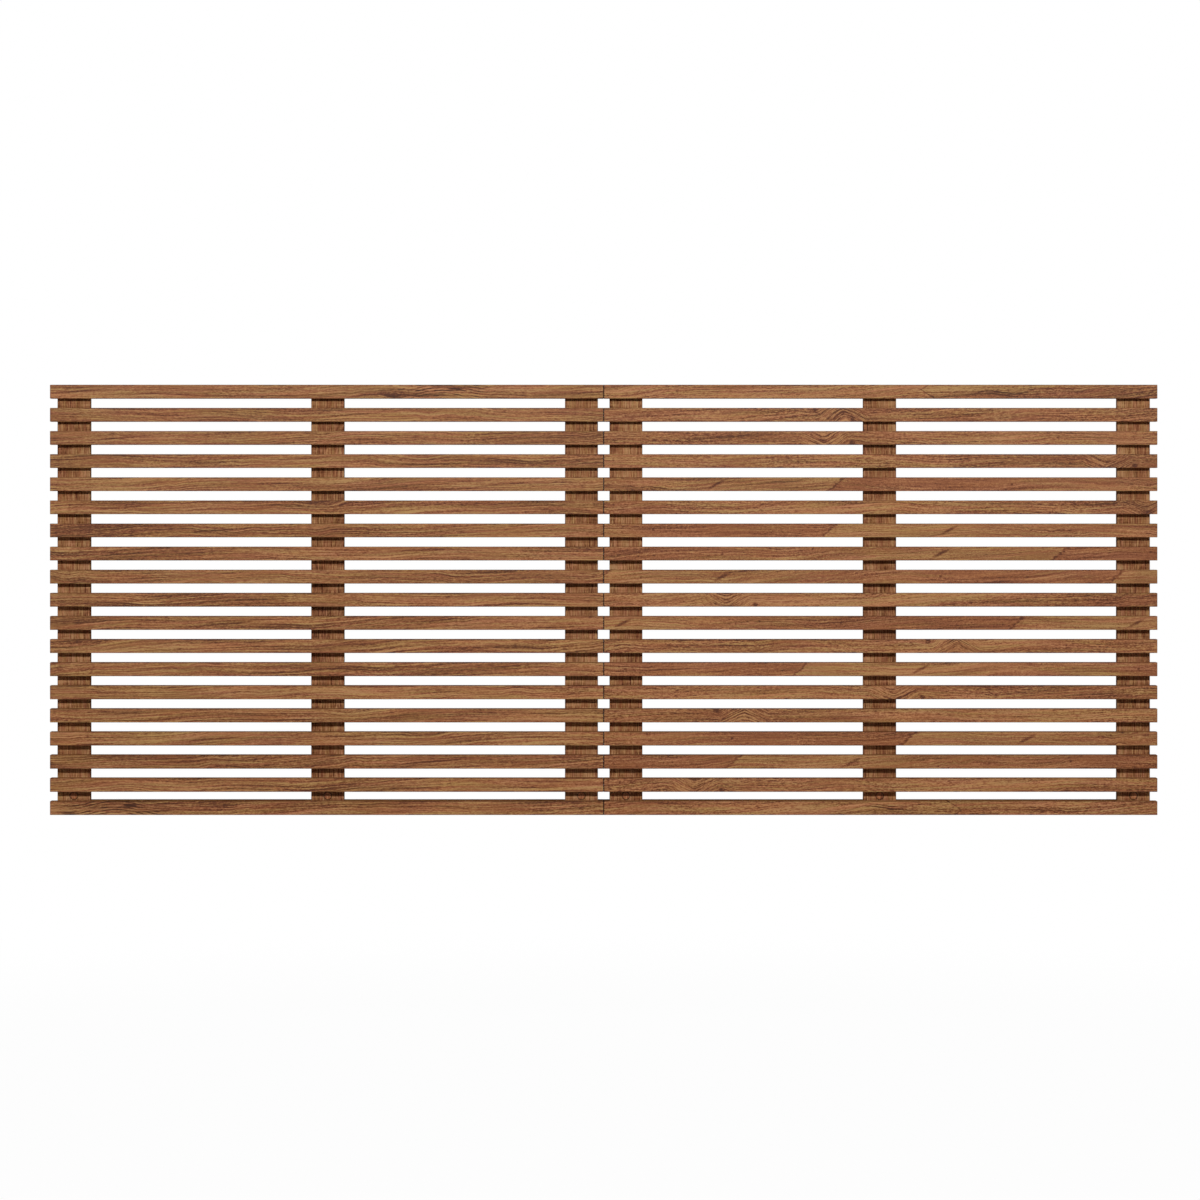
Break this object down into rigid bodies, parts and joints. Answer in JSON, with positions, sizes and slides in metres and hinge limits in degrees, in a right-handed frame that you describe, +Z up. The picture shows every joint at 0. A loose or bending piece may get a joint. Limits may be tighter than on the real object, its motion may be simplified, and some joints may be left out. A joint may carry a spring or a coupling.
{
  "type": "slatted wall headboard",
  "caption": "Wall-hung headboard of two butted panels, each of level wooden slats with open gaps, screwed to flat uprights behind",
  "frame": {"origin": "on the wall plane, midway between the panels, at the height of the lower wall screws", "axes": "+X to the right seen from the front, +Y into the wall, +Z up"},
  "size_m": [2.01, 0.038, 0.781],
  "materials": {
    "slat_wood": "satin oiled walnut",
    "upright_wood": "satin oiled walnut",
    "rail_wood": "satin oiled walnut",
    "plug_wood": "satin oiled walnut",
    "screw_steel": "zinc plated",
    "hanger_steel": "zinc plated",
    "joining_steel": "dark bronze, matt"
  },
  "bodies": {
    "root": {"left_slat_01": "slat_wood", "left_slat_02": "slat_wood", "left_slat_03": "slat_wood", "left_slat_04": "slat_wood", "left_slat_05": "slat_wood", "left_slat_06": "slat_wood", "left_slat_07": "slat_wood", "left_slat_08": "slat_wood", "left_slat_09": "slat_wood", "left_slat_10": "slat_wood", "left_slat_11": "slat_wood", "left_slat_12": "slat_wood", "left_slat_13": "slat_wood", "left_slat_14": "slat_wood", "left_slat_15": "slat_wood", "left_slat_16": "slat_wood", "left_slat_17": "slat_wood", "left_slat_18": "slat_wood", "left_slat_19": "slat_wood", "left_outer_upright": "upright_wood", "left_middle_upright": "upright_wood", "left_inner_upright": "upright_wood", "left_outer_bottom_rail": "rail_wood", "left_inner_bottom_rail": "rail_wood", "left_screw_plugs": "plug_wood", "left_hanger_plates": "hanger_steel", "left_slat_screws": "screw_steel", "left_hanger_screws": "screw_steel", "right_slat_01": "slat_wood", "right_slat_02": "slat_wood", "right_slat_03": "slat_wood", "right_slat_04": "slat_wood", "right_slat_05": "slat_wood", "right_slat_06": "slat_wood", "right_slat_07": "slat_wood", "right_slat_08": "slat_wood", "right_slat_09": "slat_wood", "right_slat_10": "slat_wood", "right_slat_11": "slat_wood", "right_slat_12": "slat_wood", "right_slat_13": "slat_wood", "right_slat_14": "slat_wood", "right_slat_15": "slat_wood", "right_slat_16": "slat_wood", "right_slat_17": "slat_wood", "right_slat_18": "slat_wood", "right_slat_19": "slat_wood", "right_outer_upright": "upright_wood", "right_middle_upright": "upright_wood", "right_inner_upright": "upright_wood", "right_outer_bottom_rail": "rail_wood", "right_inner_bottom_rail": "rail_wood", "right_screw_plugs": "plug_wood", "right_hanger_plates": "hanger_steel", "right_slat_screws": "screw_steel", "right_hanger_screws": "screw_steel", "upper_joining_plate": "joining_steel", "lower_joining_plate": "joining_steel", "joining_screws": "screw_steel"}
  },
  "joints": []
}
